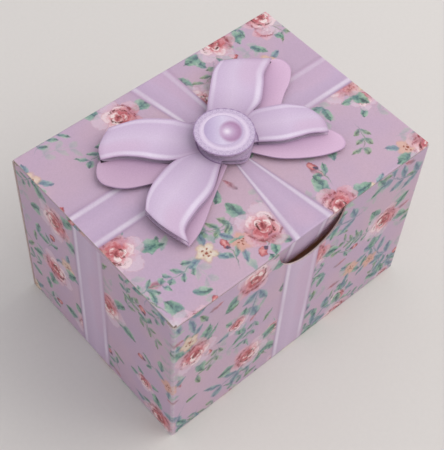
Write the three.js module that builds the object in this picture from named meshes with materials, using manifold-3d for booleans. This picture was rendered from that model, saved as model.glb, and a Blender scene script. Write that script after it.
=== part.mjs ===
// A small gift box folded from one sheet of printed card. Four walls and an interlocked
// base carry a hinged lid with a tuck flap. A decoupage bow in two die-cut layers and a
// lace-edged button stand above the lid on foam pads. Millimetres, +Z up: the wall with
// the thumb notch faces -Y, and the origin is under the middle of the box.
import * as THREE from "three";
import { mergeVertices } from "three/addons/utils/BufferGeometryUtils.js";
import Module from "manifold-3d";

// The box
const boxWidth = 80; // X, along the wall with the thumb notch
const boxDepth = 58.5; // Y
const boxHeight = 53; // Z, to the top face of the closed lid
const cardThickness = 0.4; // printed card of about 300 g/m2
const foldRadius = 0.6; // outside of a folded upright corner
const layerGap = 0.1; // air between two cards that lie on each other
const edgeGap = 0.3; // air between a cut edge and the card beside it
const notchRadius = 10.5; // thumb notch in the front wall's top edge
const notchCentreX = 1;
const notchLipRadius = 0.8; // worn corners where the notch meets the top edge

// The glue tab inside the left rear corner
const tabWidth = 11;
const tabTaper = 4; // rise of the slanted ends, so that the tab clears the creases

// The lid with its flaps
const lidSideInset = 0.3; // lid edge to the outside of a side wall
const tuckDepth = 13;
const tuckSideInset = 1; // tuck flap edge to the outside of a side wall
const tuckCornerRadius = 6;
const tuckSlant = 9; // degrees inward from upright, which lets it swing past the wall
const tuckClearance = 0.2; // tuck flap to the inside of the front wall at the crease
const dustLength = 22;
const dustFrontInset = 2.4; // dust flap edge to the outside of the front wall
const dustRearInset = 1.5; // the same at the back, where the flap's edge slants away
const dustCornerRadius = 4;

// The interlocked base, from the inside out: inner panel, two side flaps, outer panel
const innerDepth = 36; // inner panel, front wall to its free edge
const innerCornerCut = 6;
const lockNotchDepth = 9; // recess in the inner panel's free edge
const recessMouthRadius = 1;
const recessCornerRadius = 2;
const lockSideClearance = 3; // recess edge to the tongue
const baseOverlap = 2.5; // how far the two panels lie under each other
const tongueWidth = 28;
const tongueSeat = 12; // length of tongue that lies on the inner panel
const tongueRampGap = 0.4; // tongue to the end of the recess where it rises through
const tongueCornerRadius = 5;
const sideFlapClearance = 1.5; // side flap's end to the tongue
const sideFlapRootCut = 2; // side flap's root to the long walls, clear of their folds
const sideFlapTaper = 8; // slant of each side flap's two edges
const outerPanelInset = 1.7; // outer panel's edge to the inner panel's, clear of the side folds

// The decoupage
const bowSpan = 59; // bow, left loop tip to right loop tip
const bowCentreX = 1;
const bowCentreY = 1.6;
const decoupageThickness = 0.3; // card of the cut layers
const thinPadHeight = 1; // foam pads under the two bow layers
const thickPadHeight = 2; // foam pad under the button
const padSide = 5;
const buttonDiameter = 14.8; // over the lace edge
const scallopCount = 26;
const scallopDepth = 0.15;

// Worked out from the sizes above
const halfCard = cardThickness / 2;
const layerPitch = cardThickness + layerGap;
const halfWidth = boxWidth / 2;
const halfDepth = boxDepth / 2;
const lidUnderside = boxHeight - cardThickness;
const insideX = halfWidth - cardThickness - edgeGap; // free edge beside a side wall
const insideY = halfDepth - cardThickness - edgeGap; // free edge beside front or back
const dustCreaseX = halfWidth - halfCard;
const dustCreaseZ = lidUnderside - layerGap - halfCard;

const wasm = await Module();
wasm.setup();

const paints = {
  print: { color: "#c9b0c8", roughness: 0.72, metalness: 0 },
  plain: { color: "#ebe6e2", roughness: 0.85, metalness: 0 },
  ribbon: { color: "#d3c0da", roughness: 0.6, metalness: 0 },
  lace: { color: "#ddd3e4", roughness: 0.55, metalness: 0 },
  foam: { color: "#f2efec", roughness: 0.95, metalness: 0 },
};

function piece(name, geometry, paint) {
  const mesh = new THREE.Mesh(geometry, new THREE.MeshStandardMaterial(paints[paint]));
  mesh.name = name;
  return mesh;
}

function pivot(x, y, z, ...children) {
  const group = new THREE.Group();
  group.position.set(x, y, z);
  group.add(...children);
  return group;
}

// Extrusions: up from z = bottom, along X about x = 0, and along Y about y = middle
function upright(shape, bottom, height, curveSegments = 6) {
  const settings = { depth: height, bevelEnabled: false, curveSegments };
  return new THREE.ExtrudeGeometry(shape, settings).translate(0, 0, bottom);
}

function alongX(shape, length, curveSegments = 4) {
  const turn = new THREE.Matrix4().makeBasis(
    new THREE.Vector3(0, 1, 0), new THREE.Vector3(0, 0, 1), new THREE.Vector3(1, 0, 0),
  );
  return upright(shape, -length / 2, length, curveSegments).applyMatrix4(turn);
}

function alongY(shape, middle, length, curveSegments = 12) {
  return upright(shape, -length / 2, length, curveSegments).rotateX(Math.PI / 2).translate(0, middle, 0);
}

// Joining and cutting
function solid(geometry) {
  const bare = geometry.clone();
  bare.deleteAttribute("normal");
  bare.deleteAttribute("uv");
  const welded = mergeVertices(bare, 1e-4);
  return new wasm.Manifold(new wasm.Mesh({
    numProp: 3,
    vertProperties: welded.getAttribute("position").array,
    triVerts: Uint32Array.from(welded.getIndex().array),
  }));
}

function surface(manifold) {
  const mesh = manifold.getMesh();
  const geometry = new THREE.BufferGeometry();
  geometry.setAttribute("position", new THREE.BufferAttribute(mesh.vertProperties, 3));
  geometry.setIndex(new THREE.BufferAttribute(mesh.triVerts, 1));
  geometry.computeVertexNormals();
  return geometry;
}

function polygon(points) {
  return new THREE.Shape(points.map(([x, y]) => new THREE.Vector2(x, y)));
}

// A polygon whose corners are rounded: each corner is [x, y, radius]
function roundedPolygon(corners) {
  const shape = new THREE.Shape();
  corners.forEach(([x, y, radius = 0], index) => {
    const [beforeX, beforeY] = corners.at(index - 1);
    const [afterX, afterY] = corners[(index + 1) % corners.length];
    const corner = new THREE.Vector2(x, y);
    const toBefore = new THREE.Vector2(beforeX, beforeY).sub(corner).normalize();
    const toAfter = new THREE.Vector2(afterX, afterY).sub(corner).normalize();
    const setback = radius / Math.tan(toBefore.angleTo(toAfter) / 2);
    const start = corner.clone().addScaledVector(toBefore, setback);
    const end = corner.clone().addScaledVector(toAfter, setback);
    if (index === 0) shape.moveTo(start.x, start.y);
    else shape.lineTo(start.x, start.y);
    if (radius > 0) shape.quadraticCurveTo(x, y, end.x, end.y);
  });
  shape.closePath();
  return shape;
}

// The front and back walls turn both upright corners and end where the side walls begin.
// facing is -1 for the wall at -Y and 1 for the wall at +Y.
function longWallPlan(facing) {
  const inner = foldRadius - cardThickness;
  const centreX = halfWidth - foldRadius;
  const centreY = halfDepth - foldRadius;
  const plan = new THREE.Shape();
  plan.moveTo(halfWidth, -centreY);
  plan.lineTo(halfWidth - cardThickness, -centreY);
  plan.absarc(centreX, -centreY, inner, 0, -Math.PI / 2, true);
  plan.absarc(-centreX, -centreY, inner, -Math.PI / 2, -Math.PI, true);
  plan.lineTo(-halfWidth, -centreY);
  plan.absarc(-centreX, -centreY, foldRadius, -Math.PI, -Math.PI / 2, false);
  plan.absarc(centreX, -centreY, foldRadius, -Math.PI / 2, 0, false);
  const geometry = upright(plan, 0, lidUnderside - layerGap);
  return facing < 0 ? geometry : geometry.rotateZ(Math.PI);
}

// The thumb notch is a half circle whose mouth is eased by two small arcs. The cutter
// runs past the wall's top edge and past both of its faces.
function notchCutter() {
  const top = lidUnderside - layerGap;
  const past = foldRadius;
  const lipReach = Math.sqrt((notchRadius + notchLipRadius) ** 2 - notchLipRadius ** 2);
  const lipAngle = Math.asin(notchLipRadius / (notchRadius + notchLipRadius));
  const shape = new THREE.Shape();
  shape.moveTo(-lipReach, top + past);
  shape.lineTo(-lipReach, top);
  shape.absarc(-lipReach, top - notchLipRadius, notchLipRadius, Math.PI / 2, lipAngle, true);
  shape.absarc(0, top, notchRadius, Math.PI + lipAngle, 2 * Math.PI - lipAngle, false);
  shape.absarc(lipReach, top - notchLipRadius, notchLipRadius, Math.PI - lipAngle, Math.PI / 2, true);
  shape.lineTo(lipReach, top + past);
  shape.closePath();
  return alongY(shape, -halfDepth, 4 * foldRadius).translate(notchCentreX, 0, 0);
}

function frontWall() {
  return surface(solid(longWallPlan(-1)).subtract(solid(notchCutter())));
}

function sideWall(side) {
  const top = dustCreaseZ - halfCard - layerGap;
  const length = boxDepth - 2 * foldRadius;
  const wall = new THREE.BoxGeometry(cardThickness, length, top);
  return wall.translate(side * (halfWidth - halfCard), 0, top / 2);
}

function glueTab() {
  const outer = -insideX;
  const bottom = 3 * layerPitch;
  const top = dustCreaseZ - halfCard - edgeGap;
  const face = polygon([
    [outer, bottom],
    [outer + tabWidth, bottom + tabTaper],
    [outer + tabWidth, top - tabTaper],
    [outer, top],
  ]);
  return alongY(face, halfDepth - layerPitch - halfCard, cardThickness);
}

// A panel that turns on a crease along its local X: the root is rounded about that line,
// and the card runs along local +Y to the cut edge of its outline
function creasedPanel(outline, reach, width) {
  const section = new THREE.Shape();
  section.moveTo(0, -halfCard);
  section.lineTo(reach, -halfCard);
  section.lineTo(reach, halfCard);
  section.lineTo(0, halfCard);
  section.absarc(0, 0, halfCard, Math.PI / 2, 1.5 * Math.PI, false);
  const blank = solid(upright(outline, -cardThickness, 2 * cardThickness, 8));
  return surface(solid(alongX(section, width)).intersect(blank));
}

function lidPanel() {
  const edge = halfDepth - halfCard;
  const section = new THREE.Shape();
  section.absarc(edge, 0, halfCard, -Math.PI / 2, Math.PI / 2, false);
  section.absarc(-edge, 0, halfCard, Math.PI / 2, 1.5 * Math.PI, false);
  return alongX(section, boxWidth - 2 * lidSideInset).translate(0, -edge, 0);
}

function tuckFlap() {
  const half = halfWidth - tuckSideInset;
  const outline = roundedPolygon([
    [-half, -cardThickness],
    [half, -cardThickness],
    [half, tuckDepth, tuckCornerRadius],
    [-half, tuckDepth, tuckCornerRadius],
  ]);
  return creasedPanel(outline, tuckDepth, 2 * half);
}

// The dust flap's crease runs front to back. Local +X is towards the front wall on the
// left flap, and its rear edge slants so that the lid can lift before the flap does.
function dustFlap(side) {
  const toFront = halfDepth - dustFrontInset;
  const toRear = halfDepth - dustRearInset;
  const corners = [
    [-toRear, -cardThickness],
    [toFront, -cardThickness],
    [toFront, dustLength, dustCornerRadius],
    [dustLength - toRear, dustLength, dustCornerRadius],
    [-toRear, 0],
  ];
  const mirrored = corners.map(([x, ...rest]) => [-x, ...rest]).reverse();
  const outline = roundedPolygon(side < 0 ? corners : mirrored);
  return creasedPanel(outline, dustLength, boxDepth);
}

function baseInnerPanel() {
  const wall = -insideY;
  const free = wall + innerDepth;
  const recess = free - lockNotchDepth;
  const half = tongueWidth / 2 + lockSideClearance;
  const outline = roundedPolygon([
    [-insideX, wall],
    [insideX, wall],
    [insideX, free - innerCornerCut],
    [insideX - innerCornerCut, free],
    [half, free, recessMouthRadius],
    [half, recess, recessCornerRadius],
    [-half, recess, recessCornerRadius],
    [-half, free, recessMouthRadius],
    [innerCornerCut - insideX, free],
    [-insideX, free - innerCornerCut],
  ]);
  return upright(outline, 2 * layerPitch, cardThickness);
}

function baseSideFlap(side) {
  const end = tongueWidth / 2 + sideFlapClearance;
  const rootY = insideY - sideFlapRootCut;
  const endY = insideY - sideFlapTaper;
  const outline = polygon([
    [side * insideX, -rootY],
    [side * end, -endY],
    [side * end, endY],
    [side * insideX, rootY],
  ]);
  return upright(outline, layerPitch, cardThickness);
}

// The outer panel's tongue rises through the recess and lies on the inner panel
function baseOuterPanel() {
  const innerFree = innerDepth - insideY;
  const shoulder = innerFree - baseOverlap;
  const rampTop = innerFree - lockNotchDepth + tongueRampGap;
  const seatEnd = rampTop - tongueRampGap - tongueSeat;
  const seatHeight = 3 * layerPitch;
  const plateX = insideX - outerPanelInset;
  const plate = polygon([
    [plateX, insideY],
    [-plateX, insideY],
    [-plateX, shoulder + innerCornerCut],
    [innerCornerCut - plateX, shoulder],
    [plateX - innerCornerCut, shoulder],
    [plateX, shoulder + innerCornerCut],
  ]);
  const section = polygon([
    [shoulder + baseOverlap, 0],
    [shoulder + baseOverlap, cardThickness],
    [shoulder, cardThickness],
    [rampTop, seatHeight + cardThickness],
    [seatEnd, seatHeight + cardThickness],
    [seatEnd, seatHeight],
    [rampTop, seatHeight],
    [shoulder, 0],
  ]);
  const half = tongueWidth / 2;
  const tongueOutline = roundedPolygon([
    [half, innerFree + cardThickness],
    [-half, innerFree + cardThickness],
    [-half, seatEnd, tongueCornerRadius],
    [half, seatEnd, tongueCornerRadius],
  ]);
  const tongue = solid(alongX(section, tongueWidth)).intersect(
    solid(upright(tongueOutline, -cardThickness, seatHeight + 3 * cardThickness)),
  );
  return surface(solid(upright(plate, 0, cardThickness)).add(tongue));
}

// The bow is drawn on a grid of 100 units from tip to tip, about its knot. Each stretch of
// edge is a smooth run through its points, and corners lie where two stretches meet.
const bowEdges = {
  upperLeftOuter: [[-6, 15], [-10, 21], [-20, 29], [-32, 33]],
  upperLeftFold: [[-32, 33], [-36, 29], [-42.8, 23.6]],
  upperLeftFoldTip: [[-42.8, 23.6], [-44.5, 22]],
  upperLeftMouth: [[-44.5, 22], [-38, 19], [-32.3, 14], [-27.3, 8], [-21.5, 3.5]],
  upperLeftLining: [
    [-42.8, 23.6], [-45.5, 23], [-48.7, 21], [-50.3, 18], [-49.4, 13.3], [-44.3, 6.3], [-34, 1],
  ],
  lowerLeftShoulder: [[-21.5, 3.5], [-34, 1]],
  lowerLeftOuter: [[-34, 1], [-41.5, -3], [-46.5, -8]],
  lowerLeftFold: [[-46.5, -8], [-46.3, -17], [-43.5, -30]],
  lowerLeftMouth: [
    [-43.5, -30], [-41.3, -25], [-38, -22.6], [-31, -20], [-20, -16.5], [-8, -8],
  ],
  lowerLeftLining: [[-43.5, -30], [-37, -28], [-30.5, -24.5], [-22, -19], [-7, -10]],
  lowerRightLining: [
    [5, -11], [12, -20.6], [23, -28.6], [32.5, -32.4], [37, -32], [39, -28.5], [38.3, -24],
    [36.2, -20],
  ],
  lowerRightMouth: [[8, -9], [17, -15.3], [23.5, -18], [29, -20], [35, -24]],
  lowerRightFoldTip: [[35, -24], [36.2, -20]],
  lowerRightFold: [[36.2, -20], [36.6, -14], [37, -8]],
  lowerRightOuter: [[37, -8], [34, -4.5], [30, -1]],
  lowerRightShoulder: [[30, -1], [18.5, 3.5]],
  upperRightLining: [
    [30, -1], [36.5, 3.5], [42, 6.5], [46, 9.5], [49, 13], [49.7, 17], [48, 20.5], [43.5, 21.8],
  ],
  upperRightMouth: [[18.5, 3.5], [25, 5.5], [32, 11.5], [37, 16.5], [45, 20.5]],
  upperRightFoldTip: [[45, 20.5], [43.5, 21.8]],
  upperRightFold: [[43.5, 21.8], [34, 29], [27, 33]],
  upperRightOuter: [[27, 33], [21, 30.5], [15, 25.5], [5, 16]],
  knotTop: [[5, 16], [0, 13], [-6, 15]],
  knotBottomWide: [[-8, -8], [0, -13], [8, -9]],
  knotBottomNarrow: [[-7, -10], [-1, -13], [5, -11]],
};

function bowOutline(...names) {
  const unit = bowSpan / 100;
  const shape = new THREE.Shape();
  names.forEach((name, index) => {
    const points = bowEdges[name].map(([x, y]) => new THREE.Vector2(x * unit, y * unit));
    if (index === 0) shape.moveTo(points[0].x, points[0].y);
    if (points.length === 2) shape.lineTo(points[1].x, points[1].y);
    else shape.splineThru(points.slice(1));
  });
  return shape;
}

// The back layer is the whole bow with the dark lining inside each loop
function bowBackLayer() {
  return bowOutline(
    "upperLeftOuter", "upperLeftFold", "upperLeftLining", "lowerLeftOuter", "lowerLeftFold",
    "lowerLeftLining", "knotBottomNarrow", "lowerRightLining", "lowerRightFold",
    "lowerRightOuter", "upperRightLining", "upperRightFold", "upperRightOuter", "knotTop",
  );
}

// The front layer repeats only the four ribbon bands, cut away along each loop's mouth
function bowFrontLayer() {
  return bowOutline(
    "upperLeftOuter", "upperLeftFold", "upperLeftFoldTip", "upperLeftMouth", "lowerLeftShoulder",
    "lowerLeftOuter", "lowerLeftFold", "lowerLeftMouth", "knotBottomWide", "lowerRightMouth",
    "lowerRightFoldTip", "lowerRightFold", "lowerRightOuter", "lowerRightShoulder",
    "upperRightMouth", "upperRightFoldTip", "upperRightFold", "upperRightOuter", "knotTop",
  );
}

function laceButton() {
  const stepsPerScallop = 6;
  const steps = scallopCount * stepsPerScallop;
  const points = Array.from({ length: steps }, (_, step) => {
    const bulge = Math.abs(Math.sin((Math.PI * step) / stepsPerScallop));
    const radius = buttonDiameter / 2 - scallopDepth * (1 - bulge);
    const angle = (2 * Math.PI * step) / steps;
    return [radius * Math.cos(angle), radius * Math.sin(angle)];
  });
  return polygon(points);
}

// One pad under each loop and one under the knot, in the bow's own grid units
const padSpots = {
  upper_left: [-27, 21],
  lower_left: [-32, -10],
  lower_right: [26, -9],
  upper_right: [25, 20],
  centre: [0, 0],
};

function padSet(prefix, bottom, height) {
  return Object.entries(padSpots).map(([place, [x, y]]) => {
    const pad = piece(`${prefix}_${place}`, new THREE.BoxGeometry(padSide, padSide, height), "foam");
    pad.position.set((x * bowSpan) / 100, (y * bowSpan) / 100, bottom + height / 2);
    return pad;
  });
}

// Everything glued to the lid, stacked up from the lid's top face
function decoupage() {
  const backBottom = thinPadHeight;
  const middleBottom = backBottom + decoupageThickness;
  const frontBottom = middleBottom + thinPadHeight;
  const thickBottom = frontBottom + decoupageThickness;
  const buttonBottom = thickBottom + thickPadHeight;
  const buttonPad = piece("button_pad", new THREE.BoxGeometry(padSide, padSide, thickPadHeight), "foam");
  buttonPad.position.z = thickBottom + thickPadHeight / 2;
  return [
    ...padSet("lower_pad", 0, thinPadHeight),
    piece("bow_back_layer", upright(bowBackLayer(), backBottom, decoupageThickness, 4), "ribbon"),
    ...padSet("upper_pad", middleBottom, thinPadHeight),
    piece("bow_front_layer", upright(bowFrontLayer(), frontBottom, decoupageThickness, 4), "ribbon"),
    buttonPad,
    piece("lace_button", upright(laceButton(), buttonBottom, decoupageThickness), "lace"),
  ];
}

function walls() {
  return [
    piece("front_wall", frontWall(), "print"),
    piece("back_wall", longWallPlan(1), "print"),
    piece("left_wall", sideWall(-1), "print"),
    piece("right_wall", sideWall(1), "print"),
    piece("glue_tab", glueTab(), "plain"),
  ];
}

function base() {
  return [
    piece("base_inner_panel", baseInnerPanel(), "plain"),
    piece("base_left_flap", baseSideFlap(-1), "plain"),
    piece("base_right_flap", baseSideFlap(1), "plain"),
    piece("base_outer_panel", baseOuterPanel(), "plain"),
  ];
}

function dustFlaps() {
  const left = pivot(-dustCreaseX, 0, dustCreaseZ, piece("left_dust_flap", dustFlap(-1), "print"));
  left.rotation.z = -Math.PI / 2;
  const right = pivot(dustCreaseX, 0, dustCreaseZ, piece("right_dust_flap", dustFlap(1), "print"));
  right.rotation.z = Math.PI / 2;
  return [left, right];
}

// The lid's group sits on its hinge line, and the tuck flap's group on its own crease
function lid() {
  const hingeY = halfDepth - halfCard;
  const hingeZ = boxHeight - halfCard;
  const tuckY = tuckClearance + cardThickness + halfCard - halfDepth;
  const tuck = pivot(0, tuckY - hingeY, dustCreaseZ - hingeZ, piece("tuck_flap", tuckFlap(), "print"));
  tuck.rotation.x = THREE.MathUtils.degToRad(tuckSlant - 90);
  const bow = pivot(bowCentreX, bowCentreY - hingeY, halfCard, ...decoupage());
  return pivot(0, hingeY, hingeZ, piece("lid_panel", lidPanel(), "print"), tuck, bow);
}

const giftBox = new THREE.Group();
giftBox.add(...walls(), ...base(), ...dustFlaps(), lid());

export default giftBox;
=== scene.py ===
import math

import bmesh
import bpy
from mathutils import Matrix, Vector


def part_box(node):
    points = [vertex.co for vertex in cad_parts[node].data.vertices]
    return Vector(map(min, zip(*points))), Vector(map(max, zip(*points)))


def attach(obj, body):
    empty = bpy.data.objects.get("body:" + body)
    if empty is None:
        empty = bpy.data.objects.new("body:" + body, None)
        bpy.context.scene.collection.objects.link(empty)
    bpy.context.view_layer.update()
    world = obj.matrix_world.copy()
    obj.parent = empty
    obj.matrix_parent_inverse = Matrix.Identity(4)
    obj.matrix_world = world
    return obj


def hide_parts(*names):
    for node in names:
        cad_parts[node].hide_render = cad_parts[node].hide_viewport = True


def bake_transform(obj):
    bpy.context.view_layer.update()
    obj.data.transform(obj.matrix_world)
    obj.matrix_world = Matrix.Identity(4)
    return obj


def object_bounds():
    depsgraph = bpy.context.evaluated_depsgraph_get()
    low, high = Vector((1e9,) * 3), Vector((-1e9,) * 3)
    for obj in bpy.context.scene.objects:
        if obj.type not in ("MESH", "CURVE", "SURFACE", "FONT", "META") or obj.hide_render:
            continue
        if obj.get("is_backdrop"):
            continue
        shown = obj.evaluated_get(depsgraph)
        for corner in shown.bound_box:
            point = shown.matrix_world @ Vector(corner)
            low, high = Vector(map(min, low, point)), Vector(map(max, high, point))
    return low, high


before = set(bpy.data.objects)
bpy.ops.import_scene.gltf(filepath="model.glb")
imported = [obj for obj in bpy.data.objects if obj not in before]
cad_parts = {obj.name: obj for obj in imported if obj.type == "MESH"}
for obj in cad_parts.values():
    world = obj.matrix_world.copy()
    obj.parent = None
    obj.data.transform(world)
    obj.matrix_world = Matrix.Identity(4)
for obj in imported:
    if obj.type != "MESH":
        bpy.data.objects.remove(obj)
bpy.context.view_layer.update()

mm = 0.001


def colour(code):
    # an sRGB hex value as the linear colour that a socket wants
    parts = [int(code[i:i + 2], 16) / 255 for i in (1, 3, 5)]
    return [p / 12.92 if p <= 0.04045 else ((p + 0.055) / 1.055) ** 2.4 for p in parts] + [1]


modeNames = {"Math": "operation", "VectorMath": "operation", "Mix": "data_type",
             "MapRange": "interpolation_type", "VectorRotate": "rotation_type",
             "TexNoise": "noise_dimensions"}


def add(tree, kind, inputs=(), output=None, stops=None, **settings):
    # a node with its settings and links, such as "Math:ADD"; it gives back one of its outputs
    # a list fills the sockets in use, in order: value, from low, high, to low, high of a MapRange
    kind, _, mode = kind.partition(":")
    node = tree.nodes.new(kind if kind.startswith("Node") else "ShaderNode" + kind)
    if mode:
        settings[modeNames[kind]] = mode
    for name, value in settings.items():
        setattr(node, name, value)
    if isinstance(inputs, dict):
        pairs = [(node.inputs[key], value) for key, value in inputs.items()]
    else:
        pairs = zip([socket for socket in node.inputs if socket.enabled], inputs)
    for socket, value in pairs:
        if isinstance(value, bpy.types.NodeSocket):
            tree.links.new(value, socket)
        else:
            isCode = isinstance(value, str) and value.startswith("#")
            socket.default_value = colour(value) if isCode else value
    if stops:
        ramp = node.color_ramp
        while len(ramp.elements) < len(stops):
            ramp.elements.new(0.5)
        for element, (place, code) in zip(ramp.elements, stops):
            element.position, element.color = place, colour(code)
    if output is not None:
        return node.outputs[output]
    return next((socket for socket in node.outputs if socket.enabled), node)


def newMaterial(name):
    material = bpy.data.materials.new(name)
    material.use_nodes = True
    material.node_tree.nodes.clear()
    return material, material.node_tree


throughTint = "#f2cfbe"  # light that has come through the board


def closeMaterial(tree, shader, through=0.0):
    # a share of the light goes through thin board and comes out warmer
    if through:
        glow = add(tree, "BsdfTranslucent", {"Color": throughTint})
        shader = add(tree, "MixShader", [through, shader, glow])
    add(tree, "OutputMaterial", {"Surface": shader})


# flat card: a blank is cut, scored, given its thickness and folded

frontLow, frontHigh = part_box("front_wall")
lidLow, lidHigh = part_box("lid_panel")
tabLow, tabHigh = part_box("glue_tab")
dustLow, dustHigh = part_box("left_dust_flap")
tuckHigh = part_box("tuck_flap")[1]

card = {
    "thickness": lidHigh.z - lidLow.z,
    "foldRadius": 0.6 * mm,  # outside of every fold
    "foldSteps": 6,
    "cornerSteps": 6,
    "throughPrint": 0.16, "throughBack": 0.34,  # share of the light that each side of the board lets in
}
foldRadius = card["foldRadius"]
foldLength = foldRadius * math.pi / 2  # printed side of a right-angled fold
halfWidth, halfDepth, boxTop = frontHigh.x, -frontLow.y, lidHigh.z
cornerX = halfWidth - foldRadius  # where the flat of a wall ends
cornerY = halfDepth - foldRadius
noRibbon = (200, 200)  # mm, a place far from every ribbon


def cutBlank(corners, rounded=None):
    # corners run anticlockwise seen from the printed side; rounded gives corner numbers for a radius
    bm = bmesh.new()
    points = [bm.verts.new((x, y, 0)) for x, y in corners]
    bm.faces.new(points)
    for radius, numbers in (rounded or {}).items():
        bmesh.ops.bevel(bm, geom=[points[n] for n in numbers], offset=radius, offset_type="OFFSET",
                        segments=card["cornerSteps"], profile=0.5, affect="VERTICES", material=-1)
    return bm


def score(bm, axis, start, length, steps):
    # lines across the card where it will bend
    for step in range(steps + 1):
        point, across = Vector(), Vector()
        point[axis] = start + length * step / steps
        across[axis] = 1
        bmesh.ops.bisect_plane(bm, geom=bm.verts[:] + bm.edges[:] + bm.faces[:], dist=1e-7,
                               plane_co=point, plane_no=across)


def thicken(bm, thickness=card["thickness"]):
    # the printed side stays where it is; slot 0 is printed, 1 the inside, 2 the cut edge
    grown = bmesh.ops.extrude_face_region(bm, geom=bm.faces[:])["geom"]
    lower = [part for part in grown if isinstance(part, bmesh.types.BMVert)]
    bmesh.ops.translate(bm, verts=lower, vec=(0, 0, -thickness))
    bmesh.ops.recalc_face_normals(bm, faces=bm.faces[:])
    bm.normal_update()
    for face in bm.faces:
        face.material_index = 0 if face.normal.z > 0.5 else 1 if face.normal.z < -0.5 else 2


def layPrint(bm, net, band):
    # two maps in millimetres: the place on the printed sheet, and the place from the ribbons' middles
    for name, place in (("net", net), ("band", band)):
        layer = bm.loops.layers.uv.new(name)
        for face in bm.faces:
            middle = face.calc_center_median()
            for loop in face.loops:
                loop[layer].uv = place(loop.vert.co / mm, middle / mm)


def fold(verts, axis, place, side, degrees=90, radius=foldRadius):
    # the card beyond place, on that side, turns away from its printed face
    turn = math.radians(degrees)
    for vert in verts:
        along = (vert.co[axis] - place) * side
        if along > 0:
            angle = min(along / radius, turn)
            rest = max(0, along - radius * turn)
            reach = radius + vert.co.z
            vert.co[axis] = place + side * (reach * math.sin(angle) + rest * math.cos(angle))
            vert.co.z = reach * math.cos(angle) - rest * math.sin(angle) - radius


def makePiece(bm, name, materials, body=None, replaced=()):
    mesh = bpy.data.meshes.new(name)
    bm.to_mesh(mesh)
    bm.free()
    for material in materials:
        mesh.materials.append(material)
    piece = bpy.data.objects.new(name, mesh)
    bpy.context.scene.collection.objects.link(piece)
    if body:
        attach(piece, body)
    if replaced:
        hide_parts(*replaced)
    return piece


# the printed pattern: a chintz of roses, small flowers, buds, leaves and sprigs

chintz = {
    "ground": "#c6aec7", "groundWarm": "#cdb2c4",
    "roseSpacing": 27, "daisySpacing": 22, "budSpacing": 18, "leafSpacing": 14, "sprigSpacing": 16,  # mm
    "leafStep": 2.9,  # mm between a sprig's pairs of leaves
    "brushWander": 0.7,  # mm, unsteady edge of a painted stroke
    "brokenEdge": 0.35,  # share of a leaf's width by which its edge comes and goes
    "leafRoot": "#688ba0",
    "tealLeaf": [(0.0, "#35605f"), (0.12, "#528377"), (0.38, "#7aa891"), (0.72, "#9cc0a8"), (1.0, "#b9cfbb")],
    "mossLeaf": [(0.0, "#46614e"), (0.15, "#6f8f6a"), (0.5, "#95b08b"), (1.0, "#b7c7a8")],
    "blueLeaf": [(0.0, "#566f88"), (0.2, "#6f8f9c"), (0.55, "#8eacae"), (1.0, "#aec5be")],
    "ghostLeaf": [(0.0, "#a9bbae"), (0.5, "#b8c4b8"), (1.0, "#c2c6c0")],
    "petalStroke": [(0.0, "#a8606f"), (0.4, "#c98e9b"), (1.0, "#dab8c4")],
    # a rose's petals: how many, their turn, how far out, their size, how solid, and their tones
    "petals": [
        (5, 0.15, 3.2, (2.6, 2.35), 0.7,
         [(0.3, "#bd5c68"), (0.46, "#db959f"), (0.62, "#e4bcc8"), (0.85, "#e0cbda")]),
        (4, 0.6, 1.8, (1.8, 1.7), 0.92,
         [(0.08, "#9c3442"), (0.24, "#cb6b73"), (0.4, "#e7adb3"), (0.56, "#f2dde1")]),
        (3, 0.1, 0.8, (1.05, 1.0), 1.0, [(0.0, "#8a2f3a"), (0.13, "#cd787d"), (0.26, "#f6e4e2")]),
    ],
    "petalRim": "#bb6b78",
    # broken dark strokes where one petal lies in another's shade: radius, shift and tone
    "petalShades": [(4.1, (0.3, 0.85), "#943d49"), (2.7, (-0.6, 0.4), "#74222b"),
                    (1.5, (0.4, -0.3), "#5c1a20"), (0.75, (-0.2, 0.15), "#40151b")],
    "cream": [(0, "#efe8da"), (0.5, "#ebe1c8"), (0.8, "#e2cfae"), (1.0, "#d6b596")],
    "apricot": "#deab98", "speckle": "#9a4a32",
    "coral": [(0, "#eab7b6"), (0.5, "#d98d8d"), (0.85, "#bd5f69"), (1, "#963c48")],
    "calyx": "#5a5068",
}


def scatter(t, place, spacing, jitter, turn, shift):
    # a loose grid of motifs: the place inside one in mm, turned at random, and its random numbers
    grid = add(t, "Mapping", {"Vector": place, "Location": shift, "Rotation": (0, 0, turn),
                              "Scale": (1 / spacing,) * 3})
    middle = add(t, "TexVoronoi", {"Vector": grid, "Scale": 1, "Randomness": jitter}, "Position",
                 voronoi_dimensions="2D", feature="F1")
    offset = add(t, "VectorMath:SUBTRACT", [grid, middle])
    offset = add(t, "VectorMath:SCALE", [offset, spacing])
    chance = add(t, "SeparateColor", [middle.node.outputs["Color"]])
    angle = add(t, "Math:MULTIPLY", [chance, 2 * math.pi])
    return add(t, "VectorRotate:Z_AXIS", {"Vector": offset, "Angle": angle}), chance.node


def around(t, local, count, turn=0.0):
    # sectors round the middle, each turned so that its own axis lies along X, and their numbers
    axes = add(t, "SeparateXYZ", [local]).node
    angle = add(t, "Math:ARCTAN2", [axes.outputs["Y"], axes.outputs["X"]])
    sector = add(t, "Math:MULTIPLY_ADD", [angle, count / (2 * math.pi), 0.5 + turn])
    number = add(t, "Math:FLOOR", [sector])
    back = add(t, "Math:MULTIPLY_ADD", [number, -2 * math.pi / count, turn * 2 * math.pi / count])
    return add(t, "VectorRotate:Z_AXIS", {"Vector": local, "Angle": back}), number


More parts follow.
